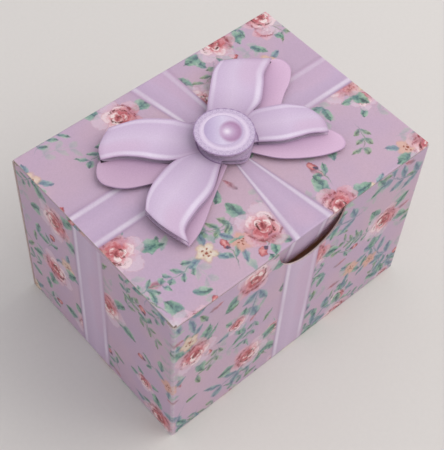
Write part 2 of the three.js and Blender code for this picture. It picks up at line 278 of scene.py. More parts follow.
def spot(t, local, middle, size, soft=0.08):
    # an ellipse: 0 in its middle and 1 on its edge, and its mask
    scaled = add(t, "VectorMath:MULTIPLY_ADD", [local, (1 / size[0], 1 / size[1], 0),
                                                (-middle[0] / size[0], -middle[1] / size[1], 0)])
    distance = add(t, "VectorMath:LENGTH", [scaled])
    mask = add(t, "MapRange:SMOOTHSTEP", [distance, 1 + soft, 1 - soft])
    return distance, mask


def layLeaf(t, ink, local, start, length, width, stops, dab, keep=None):
    # a pointed leaf along X: dark on its vein, lighter above it and cooler at its root, in uneven dabs
    axes = add(t, "SeparateXYZ", [local]).node
    along = add(t, "Math:MULTIPLY_ADD", [axes.outputs["X"], 2 / length, -1 - 2 * start / length])
    bulge = add(t, "Math:MULTIPLY", [along, along])
    half = add(t, "Math:MULTIPLY_ADD", [bulge, -width / 2, width / 2])
    across = add(t, "Math:ABSOLUTE", [axes.outputs["Y"]])
    depth = add(t, "Math:SUBTRACT", [half, across])
    depth = add(t, "Math:MULTIPLY_ADD", [dab, chintz["brokenEdge"] * width, depth])
    mask = add(t, "MapRange", [depth, -0.12, 0.22, 0, 0.92])
    ribs = add(t, "Math:SUBTRACT", [axes.outputs["X"], across])
    ribs = add(t, "Math:SINE", [add(t, "Math:MULTIPLY", [ribs, 5.0])])
    shade = add(t, "Math:MULTIPLY", [across, 1.3 / width])
    shade = add(t, "Math:MULTIPLY_ADD", [ribs, 0.06, shade])
    shade = add(t, "Math:MULTIPLY_ADD", [dab, 1.3, shade])
    upper = add(t, "Math:GREATER_THAN", [axes.outputs["Y"], 0.1])
    shade = add(t, "Math:MULTIPLY_ADD", [upper, 0.26, shade])
    green = add(t, "ValToRGB", [shade], stops=stops)
    cool = add(t, "MapRange", [along, -1.0, 0.5, 0.55, 0.0])
    green = add(t, "Mix:RGBA", [cool, green, chintz["leafRoot"]])
    if keep:
        mask = add(t, "Math:MULTIPLY", [mask, keep])
    return add(t, "Mix:RGBA", [mask, ink, green])


def layRose(t, ink, place, dab, size, spacing, shift, rarity):
    scattered, chance = scatter(t, place, spacing, 0.6, 0.4, shift)
    local = add(t, "VectorMath:SCALE", [scattered, 1 / size])
    bare = ink
    # up to five leaves stand round each rose
    ring, number = around(t, local, 5, 0.3)
    pick = add(t, "CombineXYZ", [number, chance.outputs["Green"], chance.outputs["Blue"]])
    luck = add(t, "TexWhiteNoise", [pick])
    keep = add(t, "Math:GREATER_THAN", [luck, 0.35])
    swing = add(t, "Math:MULTIPLY_ADD", [luck, 1.2, -0.8])
    ring = add(t, "VectorRotate:Z_AXIS", {"Vector": ring, "Center": (3.6, 0, 0), "Angle": swing})
    ink = layLeaf(t, ink, ring, 3.6, 5.8, 3.3, chintz["tealLeaf"], dab, keep)
    reach = add(t, "VectorMath:LENGTH", [local])
    # the blush lies on one side, and the other side is nearly as pale as the ground
    blush = add(t, "VectorMath:DOT_PRODUCT", [local, (0.035, 0.05, 0)])
    share = add(t, "Math:MULTIPLY_ADD", [reach, 0.17, blush])
    share = add(t, "Math:MULTIPLY_ADD", [dab, 0.5, share])
    broken = add(t, "MapRange", [dab, -0.06, 0.05])
    for count, turn, out, half, solid, stops in chintz["petals"]:
        petals, number = around(t, local, count, turn)
        distance, mask = spot(t, petals, (out, 0.25), half, 0.08)
        petal = add(t, "ValToRGB", [share], stops=stops)
        rim = add(t, "MapRange", [distance, 0.84, 1.02, 0, 0.55])
        rim = add(t, "Math:MULTIPLY", [rim, broken])
        petal = add(t, "Mix:RGBA", [rim, petal, chintz["petalRim"]])
        mask = add(t, "Math:MULTIPLY", [mask, solid])
        ink = add(t, "Mix:RGBA", [mask, ink, petal])
    for radius, shift, code in chintz["petalShades"]:
        whole = spot(t, local, (0, 0), (radius, radius), 0.08)[1]
        lit = spot(t, local, shift, (radius, radius), 0.12)[1]
        dark = add(t, "Math:SUBTRACT", [whole, lit], use_clamp=True)
        dark = add(t, "Math:MULTIPLY", [dark, broken])
        ink = add(t, "Mix:RGBA", [dark, ink, code])
    present = add(t, "Math:GREATER_THAN", [chance.outputs["Blue"], rarity])
    return add(t, "Mix:RGBA", [present, bare, ink])


def layDaisy(t, ink, place, dab):
    # cream and apricot flowers with a speckled heart and two or three blue-green leaves
    local, chance = scatter(t, place, chintz["daisySpacing"], 0.8, -0.3, (0.7, 0.1, 0))
    keep = add(t, "Math:GREATER_THAN", [chance.outputs["Green"], 0.4])
    leaves, number = around(t, local, 3)
    ink = layLeaf(t, ink, leaves, 1.6, 4.2, 1.9, chintz["blueLeaf"], dab, keep)
    petals, number = around(t, local, 5, 0.25)
    distance, mask = spot(t, petals, (1.4, 0), (1.35, 1.1), 0.36)
    shade = add(t, "Math:MULTIPLY_ADD", [dab, 1.1, distance])
    cream = add(t, "ValToRGB", [shade], stops=chintz["cream"])
    apricot = add(t, "Mix:RGBA", [chance.outputs["Blue"], cream, chintz["apricot"]])
    mask = add(t, "Math:MULTIPLY", [mask, add(t, "Math:MULTIPLY", [keep, 0.85])])
    ink = add(t, "Mix:RGBA", [mask, ink, apricot])
    speckles, number = around(t, local, 5)
    dots = spot(t, speckles, (0.9, 0), (0.22, 0.2), 0.4)[1]
    heart = spot(t, local, (0, 0), (0.32, 0.32), 0.4)[1]
    dots = add(t, "Math:MULTIPLY", [add(t, "Math:MAXIMUM", [dots, heart]), keep])
    return add(t, "Mix:RGBA", [dots, ink, chintz["speckle"]])


def layBud(t, ink, place, dab):
    # a coral bud with a dark calyx on a bent stem
    local, chance = scatter(t, place, chintz["budSpacing"], 0.8, 0.8, (0.2, 0.55, 0))
    keep = add(t, "Math:GREATER_THAN", [chance.outputs["Green"], 0.4])
    axes = add(t, "SeparateXYZ", [local]).node
    bend = add(t, "Math:MULTIPLY", [axes.outputs["X"], axes.outputs["X"]])
    bent = add(t, "Math:MULTIPLY_ADD", [bend, -0.06, axes.outputs["Y"]])
    stem = add(t, "CombineXYZ", [axes.outputs["X"], bent])
    ink = layLeaf(t, ink, stem, -5.6, 5.6, 0.5, chintz["mossLeaf"], dab, keep)
    for turn, start in ((0.75, 0.2), (-0.8, 0.5)):
        blade = add(t, "VectorRotate:Z_AXIS", {"Vector": stem, "Center": (-3.0, 0, 0),
                                               "Angle": turn})
        ink = layLeaf(t, ink, blade, start - 3.0, 3.4, 1.6, chintz["tealLeaf"], dab, keep)
    distance, mask = spot(t, local, (1.2, 0), (1.4, 0.95), 0.14)
    shade = add(t, "Math:MULTIPLY_ADD", [dab, 1.2, distance])
    coral = add(t, "ValToRGB", [shade], stops=chintz["coral"])
    ink = add(t, "Mix:RGBA", [add(t, "Math:MULTIPLY", [mask, keep]), ink, coral])
    cup = add(t, "Math:MULTIPLY", [spot(t, local, (0.15, 0), (0.5, 0.5), 0.3)[1], keep])
    return add(t, "Mix:RGBA", [cup, ink, chintz["calyx"]])


def layLeafPair(t, ink, place, dab):
    # one or two broad leaves that lie by themselves
    local, chance = scatter(t, place, chintz["leafSpacing"], 0.85, 1.1, (0.6, 0.3, 0))
    for turn, low in ((0.55, 0.4), (-0.75, 0.65)):
        keep = add(t, "Math:GREATER_THAN", [chance.outputs["Blue"], low])
        blade = add(t, "VectorRotate:Z_AXIS", {"Vector": local, "Angle": turn})
        ink = layLeaf(t, ink, blade, 0.1, 4.8, 2.4, chintz["tealLeaf"], dab, keep)
    return ink


def layStrokes(t, ink, place, dab, spacing, shift, stops, amount):
    # single short strokes of the brush between the motifs
    local, chance = scatter(t, place, spacing, 0.9, 0.5, shift)
    keep = add(t, "Math:LESS_THAN", [chance.outputs["Green"], amount])
    return layLeaf(t, ink, local, -2.4, 4.8, 1.8, stops, dab, keep)


def laySprig(t, ink, place, dab, shift, spacing, size, stops, strength):
    # a bent stem with three pairs of leaves
    local, chance = scatter(t, place, spacing, 0.85, 0.15, shift)
    local = add(t, "VectorMath:SCALE", [local, 1 / size])
    keep = add(t, "Math:GREATER_THAN", [chance.outputs["Blue"], 0.4])
    keep = add(t, "Math:MULTIPLY", [keep, strength])
    axes = add(t, "SeparateXYZ", [local]).node
    bend = add(t, "Math:MULTIPLY", [axes.outputs["X"], axes.outputs["X"]])
    bent = add(t, "Math:MULTIPLY_ADD", [bend, 0.07, axes.outputs["Y"]])
    stem = add(t, "CombineXYZ", [axes.outputs["X"], bent])
    ink = layLeaf(t, ink, stem, -4.2, 8.2, 0.4, stops, dab, keep)
    side = add(t, "Math:ABSOLUTE", [bent])
    step = add(t, "Math:FLOORED_MODULO", [axes.outputs["X"], chintz["leafStep"]])
    blade = add(t, "CombineXYZ", [step, side])
    blade = add(t, "VectorRotate:Z_AXIS", {"Vector": blade, "Angle": -0.8})
    pair = add(t, "Math:DIVIDE", [axes.outputs["X"], chintz["leafStep"]])
    within = add(t, "Math:COMPARE", [add(t, "Math:FLOOR", [pair]), 0.0, 1.1])
    keep = add(t, "Math:MULTIPLY", [keep, within])
    return layLeaf(t, ink, blade, 0.15, 3.0, 1.5, stops, dab, keep)


def makeChintz():
    group = bpy.data.node_groups.new("chintzPrint", "ShaderNodeTree")
    group.interface.new_socket("Place", in_out="INPUT", socket_type="NodeSocketVector")
    group.interface.new_socket("Dense", in_out="INPUT", socket_type="NodeSocketFloat")
    group.interface.new_socket("Colour", in_out="OUTPUT", socket_type="NodeSocketColor")
    place = add(group, "NodeGroupInput")
    dense = place.node.outputs["Dense"]
    # strokes wander a little, as painted ones do
    wander = add(group, "TexNoise:2D", {"Vector": place, "Scale": 0.5, "Detail": 4,
                                        "Roughness": 0.65}, "Color")
    drift = add(group, "VectorMath:SUBTRACT", [wander, (0.5, 0.5, 0.5)])
    drift = add(group, "VectorMath:SCALE", [drift, 2 * chintz["brushWander"]])
    painted = add(group, "VectorMath:ADD", [place, drift])
    # dabs of a brush about a millimetre long
    dab = add(group, "TexNoise:2D", {"Vector": place, "Scale": 0.8, "Detail": 3, "Roughness": 0.65})
    dab = add(group, "Math:SUBTRACT", [dab, 0.5])
    cloud = add(group, "TexNoise:2D", {"Vector": place, "Scale": 0.05, "Detail": 2})
    cloud = add(group, "MapRange", [cloud, 0.35, 0.65])
    ink = add(group, "Mix:RGBA", [cloud, chintz["ground"], chintz["groundWarm"]])
    spacing = chintz["sprigSpacing"]
    ink = laySprig(group, ink, painted, dab, (0.1, 0.8, 0), spacing * 0.8, 1.1, chintz["ghostLeaf"],
                   0.55)
    some = add(group, "Math:MULTIPLY_ADD", [dense, 0.18, 0.06])
    strokes = [(7.6, (0.15, 0.65, 0), "mossLeaf"), (8.6, (0.55, 0.25, 0), "ghostLeaf"),
               (8.0, (0.8, 0.5, 0), "petalStroke")]
    for apart, shift, stops in strokes:
        ink = layStrokes(group, ink, painted, dab, apart, shift, chintz[stops], some)
    ink = laySprig(group, ink, painted, dab, (0.45, 0.3, 0), spacing, 1.0, chintz["tealLeaf"], 0.95)
    ink = laySprig(group, ink, painted, dab, (0.85, 0.6, 0), spacing * 1.2, 1.0, chintz["mossLeaf"],
                   0.95)
    ink = laySprig(group, ink, painted, dab, (0.25, 0.15, 0), spacing * 1.35, 1.9,
                   chintz["blueLeaf"], dense)
    ink = layLeafPair(group, ink, painted, dab)
    ink = layBud(group, ink, painted, dab)
    ink = layRose(group, ink, painted, dab, 0.62, chintz["roseSpacing"] * 0.75, (0.75, 0.4, 0), 0.5)
    ink = layDaisy(group, ink, painted, dab)
    ink = layRose(group, ink, painted, dab, 1.12, chintz["roseSpacing"], (0.8, 0.85, 0), 0.12)
    add(group, "NodeGroupOutput", [ink])
    return group


chintzPrint = makeChintz()

satin = {
    "body": [(0.0, "#cbb5d1"), (0.55, "#c5afcc"), (0.92, "#bfa8c6"), (1.0, "#b096b5")],
    "wallBody": [(0.0, "#d1bdd6"), (0.55, "#cbb7d1"), (0.92, "#c5b0cb"), (1.0, "#b59cb9")],
    "bowBody": [(0.0, "#d1bfd7"), (0.55, "#c9b5d0"), (0.92, "#c1abc8"), (1.0, "#b39ab7")],
    "blush": "#d2b4cd",  # pinker passages of the printed satin
    "gloss": "#e6dcec",  # pale line inside each edge
    "glossAt": 0.8, "glossHalf": 0.17,  # shares of the ribbon's half width
    "shade": "#a58aa6",  # soft printed shade beside a ribbon
    "under": "#cdbad6",  # ground beyond a bow band's edges
    # a band's tone from the knot to the fold, darker near the knot as painted shade under the button, and a lining's
    # tone from its mouth outwards, darker at the mouth as painted shade under the band layer
    "length": [(0.0, "#d2cbd3"), (0.25, "#eeebee"), (0.5, "#ffffff"), (0.92, "#fcfcfc"),
               (0.98, "#ece9ec"), (1.0, "#dbd5db")],
    "lining": [(0.0, "#b091b1"), (0.2, "#bb9bb8"), (0.6, "#c7a7c2"), (0.95, "#cdaec8"),
               (1.0, "#bc9dba")],
}


def layRibbon(t, ink, across, along, low, high, keep=None, gloss=0.9, body="body"):
    # a printed satin ribbon: a pale line runs inside each edge, and comes and goes along it
    side = add(t, "MapRange", [across, low, high, -1.0], clamp=False)
    share = add(t, "Math:ABSOLUTE", [side])
    body = add(t, "ValToRGB", [share], stops=satin[body])
    near = add(t, "Math:SUBTRACT", [share, satin["glossAt"]])
    near = add(t, "Math:ABSOLUTE", [near])
    line = add(t, "MapRange:SMOOTHSTEP", [near, satin["glossHalf"], 0.03])
    flow = add(t, "VectorMath:MULTIPLY", [add(t, "CombineXYZ", [side, along]), (0.5, 0.05, 0)])
    flow = add(t, "TexNoise:2D", {"Vector": flow, "Scale": 1, "Detail": 1})
    blush = add(t, "MapRange", [flow, 0.5, 0.35, 0, 0.45])
    body = add(t, "Mix:RGBA", [blush, body, satin["blush"]])
    flow = add(t, "MapRange", [flow, 0.36, 0.56, 0.45])
    line = add(t, "Math:MULTIPLY", [add(t, "Math:MULTIPLY", [line, flow]), gloss])
    cloth = add(t, "Mix:RGBA", [line, body, satin["gloss"]])
    shade = add(t, "MapRange:SMOOTHSTEP", [share, 1.2, 0.98, 0, 0.3])
    mask = add(t, "MapRange", [share, 1.02, 0.98])
    if keep:
        shade = add(t, "Math:MULTIPLY", [shade, keep])
        mask = add(t, "Math:MULTIPLY", [mask, keep])
    ink = add(t, "Mix:RGBA", [shade, ink, satin["shade"]])
    return add(t, "Mix:RGBA", [mask, ink, cloth])


wearAndFoldSheen = {
    "core": "#ddd5dc",  # white board that shows where the print has rubbed off, also used for the painted highlight down the upright folds
    "cornerReach": 0.9,  # mm, at every corner of the box
    "worstReach": 2.4,  # mm, at the lid's front left corner
    "sheenFoldBefore": 0.3, "sheenFoldBeyond": 0.15,  # mm, of |x| + |y| round the start of an upright fold, where a pale line is painted, partly worn board and partly a painted highlight
}


def layWearAndFoldSheen(t, ink):
    # rubbed corners, and a pale line down each upright fold that is partly worn board and partly a painted highlight;
    # uneven on the scale of a millimetre
    place = add(t, "VectorMath:SCALE", [add(t, "TexCoord", (), "Object"), 1 / mm])
    rough = add(t, "TexNoise", {"Vector": place, "Scale": 1.1, "Detail": 3})
    x, y, z = halfWidth / mm, halfDepth / mm, boxTop / mm
    far = add(t, "VectorMath:DISTANCE", [place, (-x, -y, z)])
    corner = add(t, "VectorMath:ABSOLUTE", [place])
    near = add(t, "VectorMath:DISTANCE", [corner, (x, y, z)])
    rub = add(t, "Math:MULTIPLY_ADD", [rough, -2.4, 2.0])
    masks = []
    for distance, reach in ((far, wearAndFoldSheen["worstReach"]), (near, wearAndFoldSheen["cornerReach"])):
        edge = add(t, "Math:ADD", [distance, rub])
        masks.append(add(t, "MapRange", [edge, reach + 0.7, reach - 0.7, 0, 0.8]))
    # painted highlight: a pale line where each upright fold starts, partly worn board
    axes = add(t, "SeparateXYZ", [corner]).node
    turned = add(t, "Math:ADD", [axes.outputs["X"], axes.outputs["Y"]])
    foldAt = x + cornerY / mm
    turned = add(t, "MapRange", [turned, foldAt - wearAndFoldSheen["sheenFoldBefore"], foldAt + wearAndFoldSheen["sheenFoldBeyond"]])
    thin = add(t, "MapRange", [rough, 0.4, 0.62, 0.12, 0.55])
    masks.append(add(t, "Math:MULTIPLY", [turned, thin]))
    wornAndFoldSheen = add(t, "Math:MAXIMUM", masks[:2])
    wornAndFoldSheen = add(t, "Math:MAXIMUM", [wornAndFoldSheen, masks[2]])
    return add(t, "Mix:RGBA", [wornAndFoldSheen, ink, wearAndFoldSheen["core"]])


def cardSurface(t, ink, rough):
    # smooth coated card: a faint fibre grain under the ink and a soft satin sheen
    place = add(t, "TexCoord", (), "Object")
    grain = add(t, "TexNoise", {"Vector": place, "Scale": 1 / (0.35 * mm), "Detail": 4,
                                "Roughness": 0.6})
    tone = add(t, "MapRange", [grain, 0.3, 0.7, 0.94, 1.05])
    ink = add(t, "VectorMath:SCALE", [ink, tone])
    sheen = add(t, "MapRange", [grain, 0.3, 0.7, rough - 0.06, rough + 0.06])
    bump = add(t, "Bump", {"Height": grain, "Strength": 0.2, "Distance": 0.02 * mm})
    return add(t, "BsdfPrincipled", {"Base Color": ink, "Roughness": sheen, "Normal": bump})


def chintzCard(name, ribbons, dense):
    # decoupage card: an offset print on coated board, matt with a slight satin sheen
    material, t = newMaterial(name)
    net = add(t, "UVMap", uv_map="net")
    ink = add(t, "Group", [net, dense], node_tree=chintzPrint)
    band = add(t, "SeparateXYZ", [add(t, "UVMap", uv_map="band")]).node
    ink = ribbons(t, ink, band.outputs["X"], band.outputs["Y"])
    closeMaterial(t, cardSurface(t, layWearAndFoldSheen(t, ink), 0.55), card["throughPrint"])
    return material


ribbon = {
    "wallHalf": 5.4,  # mm
    "lidLow": -3.2, "lidHigh": 8.0,  # left to right over the lid, edges in Y
    "split": 2.0,  # Y of the knot, where the front ribbon ends and the back one starts
    # low and high edge in X of the front and back ribbon, at the lid's edge and near the knot
    "front": ((-29.2, -5.2, 7.2), (-5.0, -0.8, 3.2)),
    "back": ((29.2, -5.6, 6.4), (14.0, -2.8, 6.4)),
}


def wallRibbons(t, ink, x, y):
    return layRibbon(t, ink, x, y, -ribbon["wallHalf"], ribbon["wallHalf"], body="wallBody")


def lidRibbons(t, ink, x, y):
    # the ribbon from left to right, then the two that narrow to the knot
    ink = layRibbon(t, ink, y, x, ribbon["lidLow"], ribbon["lidHigh"])
    for name, side in (("front", "LESS_THAN"), ("back", "GREATER_THAN")):
        (edge, wideLow, wideHigh), (knotY, low, high) = ribbon[name]
        keep = add(t, "Math", [y, ribbon["split"]], operation=side)
        low = add(t, "MapRange", [y, edge, knotY, wideLow, low])
        high = add(t, "MapRange", [y, edge, knotY, wideHigh, high])
        ink = layRibbon(t, ink, x, y, low, high, keep)
    return ink


def plainCard(name, code, rough, through=0.0, cloudy=0.06):
    # uncoated board or paper: soft, slightly cloudy fibres
    material, t = newMaterial(name)
    place = add(t, "TexCoord", (), "Object")
    fibres = add(t, "TexNoise", {"Vector": place, "Scale": 1 / (1.2 * mm), "Detail": 5,
                                 "Roughness": 0.65})
    tone = add(t, "MapRange", [fibres, 0.3, 0.7, 1 - cloudy, 1 + cloudy / 2])
    ink = add(t, "VectorMath:SCALE", [colour(code)[:3], tone])
    bump = add(t, "Bump", {"Height": fibres, "Strength": 4 * cloudy, "Distance": 0.03 * mm})
    closeMaterial(t, add(t, "BsdfPrincipled", {"Base Color": ink, "Roughness": rough,
                                               "Normal": bump}), through)
    return material


wallPrint = chintzCard("printedWallCard", wallRibbons, 1.0)
lidPrint = chintzCard("printedLidCard", lidRibbons, 0.0)
insideCard = plainCard("uncoatedCard", "#f1ebe2", 0.85, card["throughBack"])  # the sheet's plain back
cutEdge = plainCard("cutCardEdge", "#cabdb9", 0.9, card["throughPrint"])  # grey-cream core of the board
foam = plainCard("foamPad", "#e6e3df", 0.95)  # white sticky foam

cardMaterials = [wallPrint, insideCard, cutEdge]
lidMaterials = [lidPrint, insideCard, cutEdge]
print("print mixed")

# the walls and the glue tab: one strip, wrapped round four corners

baseFolds = {
    "cornerGap": 1.4 * mm,  # inner panel's root to the upright folds
    "sideRoot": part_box("base_left_flap")[1].y,  # half of a side flap's root
    "rearRoot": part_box("base_outer_panel")[1].x,  # half of the outer panel's root
    "climb": 1.6 * mm,  # run over which a panel climbs from its fold to its layer
}
walls = {
    "notchX": 1 * mm, "notchRadius": 10.5 * mm, "notchLip": 0.8 * mm, "notchSteps": 44,
    "tabTaper": 4 * mm,
    "seamGap": 0.2 * mm,  # the front wall's top edge is cut a little short, which leaves a thin dark seam
    "dustGap": 0.4 * mm,  # rear end of a dust flap's crease to the flap's full reach
    "ribbonX": 1.0,  # mm, the ribbon's middle from the middle of the front or a side wall
}
sideMiddle = cornerX + foldLength + cornerY
rearMiddle = sideMiddle + cornerY + foldLength + cornerX
tabFold = sideMiddle + tabHigh.y - foldRadius
tabReach = tabFold + foldLength + tabHigh.x + cornerX
wallTop = frontHigh.z - walls["seamGap"]
sideTop = dustHigh.z - foldRadius
shoulderTop = dustHigh.z - card["thickness"] / 2  # beside a dust flap the wall ends at its crease's height
dustRear = dustHigh.y - walls["dustGap"]  # where the crease of a dust flap ends
rearTop = boxTop - foldRadius
frontRoot = cornerX - baseFolds["cornerGap"]
halfFold = foldLength / 2
notchX, notchRadius = walls["notchX"], walls["notchRadius"]

# the sheet's outline from the notch's left lip, leftwards past the tab and back along the top
chain = [
    (notchX - notchRadius, wallTop), (-sideMiddle + cornerY + halfFold, wallTop),
    (-sideMiddle + cornerY + halfFold, shoulderTop), (-sideMiddle - dustLow.y, shoulderTop),
    (-sideMiddle - dustLow.y, sideTop), (-sideMiddle - dustRear, sideTop),
    (-sideMiddle - dustRear, shoulderTop), (-tabFold - halfFold, shoulderTop),
    (-tabFold - foldLength, tabHigh.z), (-tabReach, tabHigh.z - walls["tabTaper"]),
    (-tabReach, tabLow.z + walls["tabTaper"]), (-tabFold - foldLength, tabLow.z), (-tabFold - halfFold, 0),
]
roots = [(-sideMiddle, baseFolds["sideRoot"]), (0, frontRoot), (sideMiddle, baseFolds["sideRoot"]),
         (rearMiddle, baseFolds["rearRoot"])]
for middle, half in roots:  # where a base panel goes on, the strip stops above its fold
    chain += [(middle - half, 0), (middle - half, foldRadius), (middle + half, foldRadius),
              (middle + half, 0)]
chain += [
    (rearMiddle + halfWidth, 0), (rearMiddle + halfWidth, rearTop),
    (rearMiddle - cornerX - halfFold, rearTop), (rearMiddle - cornerX - halfFold, shoulderTop),
    (sideMiddle + dustRear, shoulderTop), (sideMiddle + dustRear, sideTop),
    (sideMiddle + dustLow.y, sideTop), (sideMiddle + dustLow.y, shoulderTop),
    (sideMiddle - cornerY - halfFold, shoulderTop), (sideMiddle - cornerY - halfFold, wallTop),
    (notchX + notchRadius, wallTop),
]
bm = bmesh.new()
points = [bm.verts.new((s, t, 0)) for s, t in chain]
for first, second in zip(points, points[1:]):
    bm.edges.new((first, second))
bmesh.ops.spin(bm, geom=[points[-1]], cent=(notchX, wallTop, 0), axis=(0, 0, 1), dvec=(0, 0, 0),
               angle=-math.pi, steps=walls["notchSteps"], use_duplicate=False)
bmesh.ops.remove_doubles(bm, verts=bm.verts[:], dist=1e-6)
bmesh.ops.contextual_create(bm, geom=bm.edges[:])
lips = [v for v in bm.verts if abs(abs(v.co.x - notchX) - notchRadius) < 1e-6 and v.co.y > wallTop - 1e-6]
bmesh.ops.bevel(bm, geom=lips, offset=walls["notchLip"], offset_type="OFFSET", segments=4,
                profile=0.5, affect="VERTICES", material=-1)
bmesh.ops.recalc_face_normals(bm, faces=bm.faces[:])
bm.normal_update()
if bm.faces[:][0].normal.z < 0:
    bmesh.ops.reverse_faces(bm, faces=bm.faces[:])
corners = [(sideMiddle + cornerY, 1), (cornerX, 1), (-tabFold, -1), (-cornerX, -1)]
for place, side in corners:
    score(bm, 0, place, side * foldLength, card["foldSteps"])
thicken(bm)


def wallBand(co, middle):
    # millimetres from the middle of the ribbon on that wall, and the height
    s = middle.x * mm
    if s < -tabFold:
        return noRibbon
    ribbonAt = -walls["ribbonX"]
    if s < cornerY - sideMiddle:
        ribbonAt = (-sideMiddle / mm) - walls["ribbonX"]
    elif s > sideMiddle + cornerY:
        ribbonAt = rearMiddle / mm
    elif s > sideMiddle - cornerY:
        ribbonAt = sideMiddle / mm + walls["ribbonX"]
    return co.x - ribbonAt, co.y


layPrint(bm, lambda co, middle: (co.x, co.y), wallBand)
halves = {side: [v for v in bm.verts if v.co.x * side > 0] for side in (1, -1)}
for place, side in corners:
    fold(halves[side], 0, place, side)
upright = Matrix.Rotation(math.pi / 2, 4, "X")
bmesh.ops.transform(bm, matrix=Matrix.Translation((0, -halfDepth, 0)) @ upright, verts=bm.verts[:])
makePiece(bm, "wallStrip", cardMaterials, "box",
          ["front_wall", "back_wall", "left_wall", "right_wall", "glue_tab"])
print("walls folded")

# the interlocked base: four panels, each folded in from its wall

innerLow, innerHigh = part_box("base_inner_panel")
outerLow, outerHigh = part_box("base_outer_panel")
basePanels = {
    "recessHalf": 17 * mm, "recessDepth": 9 * mm, "recessMouth": 1 * mm, "recessCorner": 2 * mm,
    "cornerCut": 6 * mm, "cornerStart": 1.5 * mm,
    "flapTaper": 6 * mm,
    "tongueHalf": 14 * mm, "tongueCorner": 5 * mm,
    "overlap": 2.5 * mm,  # outer panel under the inner one
    "rampGap": 0.4 * mm,
    "netShift": (90, -70),  # mm on the printed sheet
}
shoulder = innerHigh.y - basePanels["overlap"]
rampTop = innerHigh.y - basePanels["recessDepth"] + basePanels["rampGap"]


def climb(bm, axis, start, run, height):
    # the card climbs by height over that run; beyond it, it lies on the next layer
    for vert in bm.verts:
        share = max(0, min(1, (vert.co[axis] - start) / run))
        vert.co.z -= height * share * share * (3 - 2 * share)


def basePanel(name, node, corners, rounded, axis, wall, side, height, tongue=False):
    # drawn as seen from below, then turned over
    bm = cutBlank(corners, rounded)
    score(bm, axis, wall, -side * foldLength, card["foldSteps"])
    score(bm, axis, wall, side * baseFolds["climb"], 4)
    if tongue:
        score(bm, 1, shoulder, rampTop - shoulder, 6)
    thicken(bm)
    shift = basePanels["netShift"]
    layPrint(bm, lambda co, middle: (co.x + shift[0], co.y + shift[1]), lambda co, middle: noRibbon)
    climb(bm, axis, wall, side * baseFolds["climb"], height)
    if tongue:  # it rises through the recess and lies on the inner panel
        climb(bm, 1, shoulder, rampTop - shoulder, outerHigh.z - card["thickness"])
    fold(bm.verts, axis, wall, -side)
    bmesh.ops.transform(bm, matrix=Matrix.Rotation(math.pi, 4, "Y"), verts=bm.verts[:])
    makePiece(bm, name, cardMaterials, "box", [node])


def mirrored(points):
    # turning a panel over mirrors it from left to right, so it is drawn mirrored
    return [(-x, y) for x, y in reversed(points)]


innerX, innerFree = innerHigh.x, innerHigh.y
cornerCut, recessHalf = basePanels["cornerCut"], basePanels["recessHalf"]
recessEnd = innerFree - basePanels["recessDepth"]
basePanel("baseInner", "base_inner_panel", mirrored([
    (-frontRoot, -cornerY - foldLength), (frontRoot, -cornerY - foldLength), (frontRoot, -cornerY),
    (innerX, -cornerY + basePanels["cornerStart"]), (innerX, innerFree - cornerCut),
    (innerX - cornerCut, innerFree), (recessHalf, innerFree), (recessHalf, recessEnd),
    (-recessHalf, recessEnd), (-recessHalf, innerFree), (cornerCut - innerX, innerFree),
    (-innerX, innerFree - cornerCut), (-innerX, -cornerY + basePanels["cornerStart"]),
    (-frontRoot, -cornerY),
]), {basePanels["recessMouth"]: (4, 7), basePanels["recessCorner"]: (5, 6)}, 1, -cornerY, 1, innerLow.z)

for sign, name, node in ((-1, "baseFlapLeft", "base_left_flap"), (1, "baseFlapRight", "base_right_flap")):
    low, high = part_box(node)
    wall, end = sign * cornerX, (high.x if sign < 0 else low.x)
    root, taper = baseFolds["sideRoot"], basePanels["flapTaper"]
    corners = [(wall + sign * foldLength, root), (wall + sign * foldLength, -root), (wall, -root),
               (end, taper - root), (end, root - taper), (wall, root)]
    corners = mirrored(corners) if sign < 0 else mirrored(corners)[::-1]
    basePanel(name, node, corners, None, 0, -wall, sign, low.z)

rearRoot, tongueHalf = baseFolds["rearRoot"], basePanels["tongueHalf"]
basePanel("baseOuter", "base_outer_panel", mirrored([
    (rearRoot, cornerY + foldLength), (-rearRoot, cornerY + foldLength),
    (-rearRoot, shoulder + cornerCut), (cornerCut - rearRoot, shoulder), (-tongueHalf, shoulder),
    (-tongueHalf, outerLow.y), (tongueHalf, outerLow.y), (tongueHalf, shoulder),
    (rearRoot - cornerCut, shoulder), (rearRoot, shoulder + cornerCut),
]), {basePanels["tongueCorner"]: (3, 4)}, 1, cornerY, -1, 0, True)
print("base folded")

# the lid with its folds and flaps

lid = {
    "seam": 0.4 * mm,  # the lid's flat ends this far behind its front edge
    "seamSteps": 6,
    "hingeSteps": 8,
}
lidX = lidHigh.x
lidFront = lidLow.y + lid["seam"]


def lidBand(co, middle):
    return co.x, co.y


def lidNet(co, middle):
    # the printed sheet runs on from the back wall, which is turned round
    return rearMiddle / mm - co.x, (boxTop + halfDepth) / mm - co.y


bm = cutBlank([(-lidX, lidFront), (lidX, lidFront), (lidX, cornerY), (-lidX, cornerY)])
thicken(bm)
layPrint(bm, lidNet, lidBand)
bmesh.ops.translate(bm, verts=bm.verts[:], vec=(0, 0, boxTop))
makePiece(bm, "lidSheet", lidMaterials, "lid", ["lid_panel"])

# the crease at the back, from the lid's flat to the back wall
bm = cutBlank([(-lidX, cornerY), (lidX, cornerY), (lidX, cornerY + foldLength), (-lidX, cornerY + foldLength)])
score(bm, 1, cornerY, foldLength, lid["hingeSteps"])
thicken(bm)
layPrint(bm, lidNet, lidBand)
fold(bm.verts, 1, cornerY, 1)
bmesh.ops.translate(bm, verts=bm.verts[:], vec=(0, 0, boxTop))
crease = makePiece(bm, "lidCrease", lidMaterials)
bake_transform(crease)

